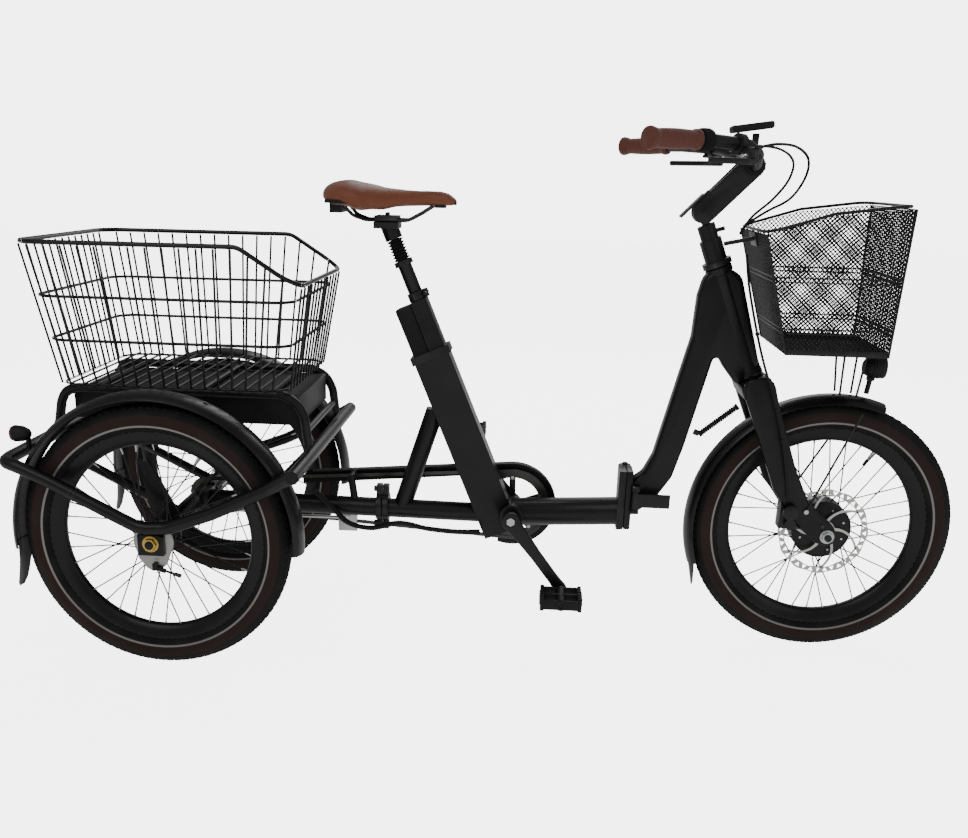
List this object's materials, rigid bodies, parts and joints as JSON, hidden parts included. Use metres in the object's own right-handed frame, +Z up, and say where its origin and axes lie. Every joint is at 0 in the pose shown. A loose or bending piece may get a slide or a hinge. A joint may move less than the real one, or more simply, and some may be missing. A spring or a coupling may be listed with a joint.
{
  "type": "adult tricycle",
  "caption": "Folding step-through adult tricycle with wire rear basket, mesh front basket, sprung saddle and front hub motor.",
  "frame": {"origin": "on the ground under the middle of the tricycle's length and width", "axes": "+X forward, +Y to the rider's left, +Z up"},
  "size_m": [1.8704, 0.636, 1.0355],
  "materials": {
    "black_paint": "satin",
    "battery_case": "satin",
    "dark_metal": "satin",
    "plate_steel": "satin",
    "brass_nut": "satin",
    "red_lens": "gloss",
    "black_plastic": "matte",
    "basket_wire": "gloss",
    "fender_gloss": "gloss",
    "bare_alloy": "satin",
    "chain_steel": "satin",
    "cable_sleeve": "satin",
    "soft_rubber": "matte",
    "tan_leather": "satin",
    "axle_steel": "satin",
    "tyre_rubber": "matte",
    "rim_black": "satin",
    "spoke_steel": "satin",
    "spring_steel": "satin",
    "basket_mesh": "satin",
    "lamp_case": "gloss",
    "tan_grip": "matte"
  },
  "bodies": {
    "rear_frame": {"rear_beam": "black_paint", "seat_tube": "black_paint", "battery_pack": "battery_case", "beam_coupling": "dark_metal", "axle_housing": "black_paint", "brake_plates": "plate_steel", "bumper_frame": "black_paint", "tail_lights": "red_lens", "rack_frame": "black_paint", "controller_case": "black_plastic", "rear_basket": "basket_wire", "rear_fender_right": "fender_gloss", "rear_fender_left": "fender_gloss", "chain_guard": "black_plastic", "chain_tensioner": "bare_alloy", "chain": "chain_steel", "frame_conduit": "cable_sleeve", "seat_clamp": "dark_metal"},
    "seat_post": {"seatpost": "dark_metal", "seatpost_bellows": "soft_rubber"},
    "saddle": {"saddle_clamp": "dark_metal", "saddle_rails": "dark_metal", "saddle_base": "black_plastic", "saddle_cover": "tan_leather"},
    "crank_set": {"crank_arms": "dark_metal", "chainring": "chain_steel"},
    "right_pedal": {"pedal_right": "black_plastic"},
    "left_pedal": {"pedal_left": "black_plastic"},
    "sprocket": {"rear_sprocket": "chain_steel"},
    "axle_and_left_wheel": {"axle_shaft": "axle_steel", "axle_nuts": "brass_nut", "rear_tyre_left": "tyre_rubber", "rear_rim_left": "rim_black", "rear_spokes_left": "spoke_steel"},
    "right_wheel": {"rear_tyre_right": "tyre_rubber", "rear_rim_right": "rim_black", "rear_spokes_right": "spoke_steel"},
    "front_half": {"front_frame": "black_paint", "steering_spring": "spring_steel"},
    "frame_latch": {"hinge_latch": "dark_metal"},
    "fork": {"front_fork": "black_paint", "front_fender": "fender_gloss", "brake_caliper": "dark_metal", "front_basket": "basket_mesh", "basket_bracket": "dark_metal", "headlight": "lamp_case", "stem_post": "dark_metal", "fork_cables": "cable_sleeve"},
    "front_wheel": {"front_tyre": "tyre_rubber", "front_rim": "rim_black", "front_spokes": "spoke_steel"},
    "stem": {"stem_arm": "dark_metal", "handlebar": "dark_metal", "grips": "tan_grip", "display": "black_plastic", "control_cables": "cable_sleeve"},
    "stem_lever": {"stem_latch": "dark_metal"},
    "shifter": {"twist_shifter": "black_plastic"},
    "right_brake_lever": {"brake_lever_right": "dark_metal"},
    "left_brake_lever": {"brake_lever_left": "dark_metal"}
  },
  "joints": [
    {"name": "seat_height", "type": "slide", "parent": "rear_frame", "child": "seat_post", "axis": [-0.3907, 0, 0.9205], "range_m": [-0.03, 0.08]},
    {"name": "seat_suspension", "type": "slide", "parent": "seat_post", "child": "saddle", "axis": [-0.3907, 0, 0.9205], "range_m": [-0.022, 0], "stiffness_N_per_m": 20000, "springref_m": 0.003, "deforming": ["seatpost_bellows"]},
    {"name": "crank_spin", "type": "hinge", "parent": "rear_frame", "child": "crank_set", "pos_m": [0.046, 0, 0.263], "axis": [0, 1, 0], "continuous": true},
    {"name": "right_pedal_spin", "type": "hinge", "parent": "crank_set", "child": "right_pedal", "pos_m": [0.15497, -0.076, 0.12099], "axis": [0, 1, 0], "continuous": true},
    {"name": "left_pedal_spin", "type": "hinge", "parent": "crank_set", "child": "left_pedal", "pos_m": [-0.06297, 0.076, 0.40501], "axis": [0, 1, 0], "continuous": true},
    {"name": "sprocket_spin", "type": "hinge", "parent": "rear_frame", "child": "sprocket", "pos_m": [-0.629, 0.052, 0.261], "axis": [0, 1, 0], "continuous": true},
    {"name": "left_wheel_spin", "type": "hinge", "parent": "rear_frame", "child": "axle_and_left_wheel", "pos_m": [-0.629, 0, 0.261], "axis": [0, 1, 0], "continuous": true},
    {"name": "right_wheel_spin", "type": "hinge", "parent": "rear_frame", "child": "right_wheel", "pos_m": [-0.629, -0.257, 0.261], "axis": [0, 1, 0], "continuous": true},
    {"name": "frame_fold", "type": "hinge", "parent": "rear_frame", "child": "front_half", "pos_m": [0.278, 0.034, 0.305], "axis": [0, 0, 1], "range_deg": [0, 140]},
    {"name": "frame_latch_swing", "type": "hinge", "parent": "front_half", "child": "frame_latch", "pos_m": [0.298, -0.038, 0.31], "axis": [0, 0, -1], "range_deg": [0, 100]},
    {"name": "steering", "type": "hinge", "parent": "front_half", "child": "fork", "pos_m": [0.42, 0, 0.783], "axis": [-0.3746, 0, 0.9272], "range_deg": [-50, 50], "deforming": ["steering_spring"]},
    {"name": "front_wheel_spin", "type": "hinge", "parent": "fork", "child": "front_wheel", "pos_m": [0.681, 0, 0.261], "axis": [0, 1, 0], "continuous": true},
    {"name": "stem_tilt", "type": "hinge", "parent": "fork", "child": "stem", "pos_m": [0.386, 0, 0.874], "axis": [0, 1, 0], "range_deg": [-20, 5]},
    {"name": "stem_lever_lift", "type": "hinge", "parent": "stem", "child": "stem_lever", "pos_m": [0.39538, 0, 0.90246], "axis": [0, 1, 0], "range_deg": [0, 70]},
    {"name": "shifter_twist", "type": "hinge", "parent": "stem", "child": "shifter", "pos_m": [0.335, -0.228, 0.995], "axis": [-0.788, -0.6157, 0], "range_deg": [-35, 35]},
    {"name": "right_brake_pull", "type": "hinge", "parent": "stem", "child": "right_brake_lever", "pos_m": [0.433, -0.196, 0.972], "axis": [0, 0, -1], "range_deg": [0, 20], "stiffness_Nm_per_rad": 2, "springref_deg": -5.73},
    {"name": "left_brake_pull", "type": "hinge", "parent": "stem", "child": "left_brake_lever", "pos_m": [0.433, 0.196, 0.972], "axis": [0, 0, 1], "range_deg": [0, 20], "stiffness_Nm_per_rad": 2, "springref_deg": -5.73}
  ],
  "couplings": [
    {"joint": "sprocket_spin", "follows": "crank_spin", "ratio": 2.5}
  ]
}
